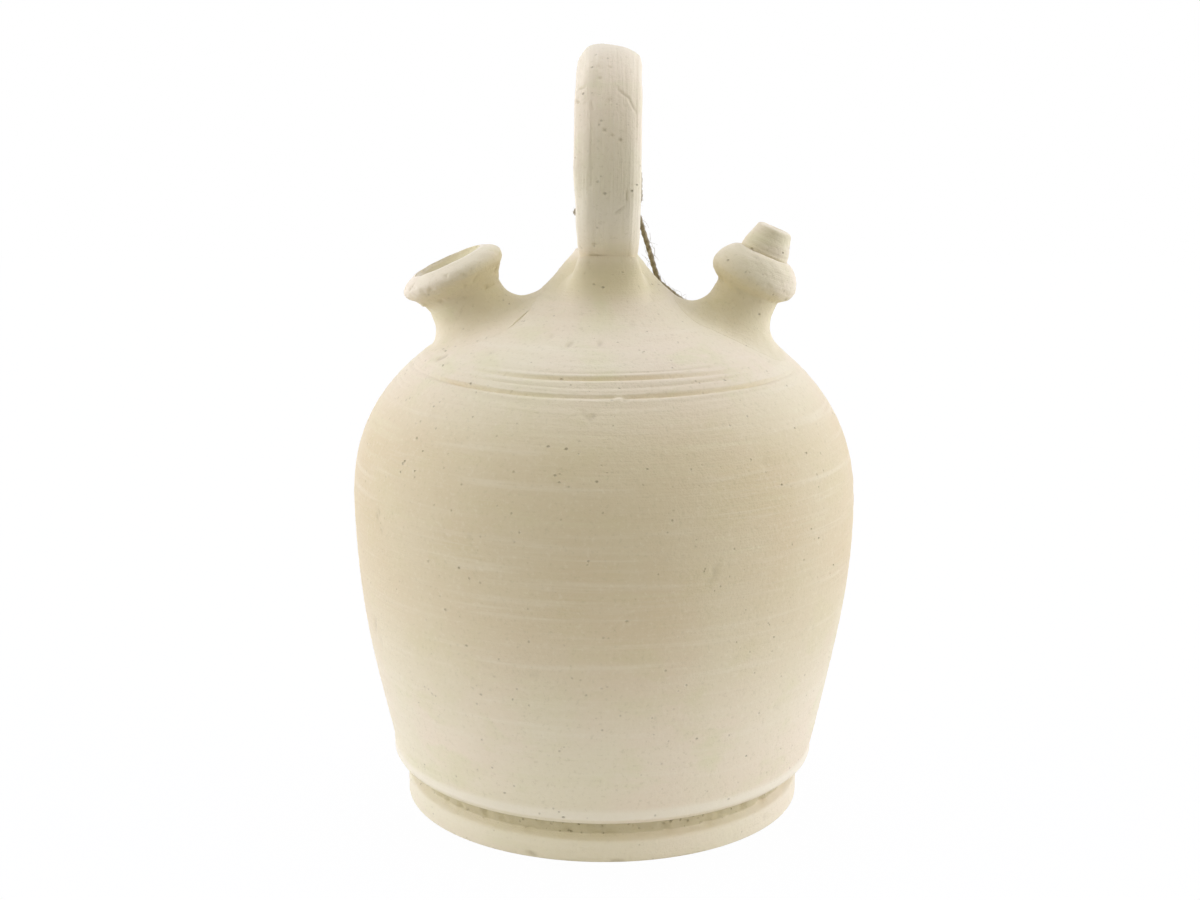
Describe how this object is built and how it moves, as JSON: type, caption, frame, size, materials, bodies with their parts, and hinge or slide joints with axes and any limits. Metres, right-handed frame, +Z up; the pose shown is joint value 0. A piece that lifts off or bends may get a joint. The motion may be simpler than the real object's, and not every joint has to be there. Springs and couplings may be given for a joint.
{
  "type": "botijo",
  "caption": "Round unglazed clay water jar with a ring handle, a short filling mouth and a narrower drinking spout with a nib, and a blank card tag on jute twine.",
  "frame": {"origin": "centre of the foot's underside, on the surface that the jar stands on", "axes": "+Z up, +X towards the drinking spout, with the handle's ring standing in the YZ plane"},
  "size_m": [0.2, 0.2, 0.3012],
  "materials": {
    "clay": "unglazed, matte, with fine throwing lines",
    "jute": "twisted natural fibre",
    "card": "matte, uncoated"
  },
  "bodies": {
    "root": {"vessel_body": "clay", "shoulder_dome": "clay", "filling_mouth": "clay", "mouth_root_coil": "clay", "drinking_spout": "clay", "spout_nib": "clay", "spout_root_coil": "clay", "handle": "clay", "handle_front_coil": "clay", "handle_back_coil": "clay", "twine_loop": "jute", "twine_knot": "jute", "twine_strand": "jute", "tag_knot": "jute", "hang_tag": "card"}
  },
  "joints": []
}
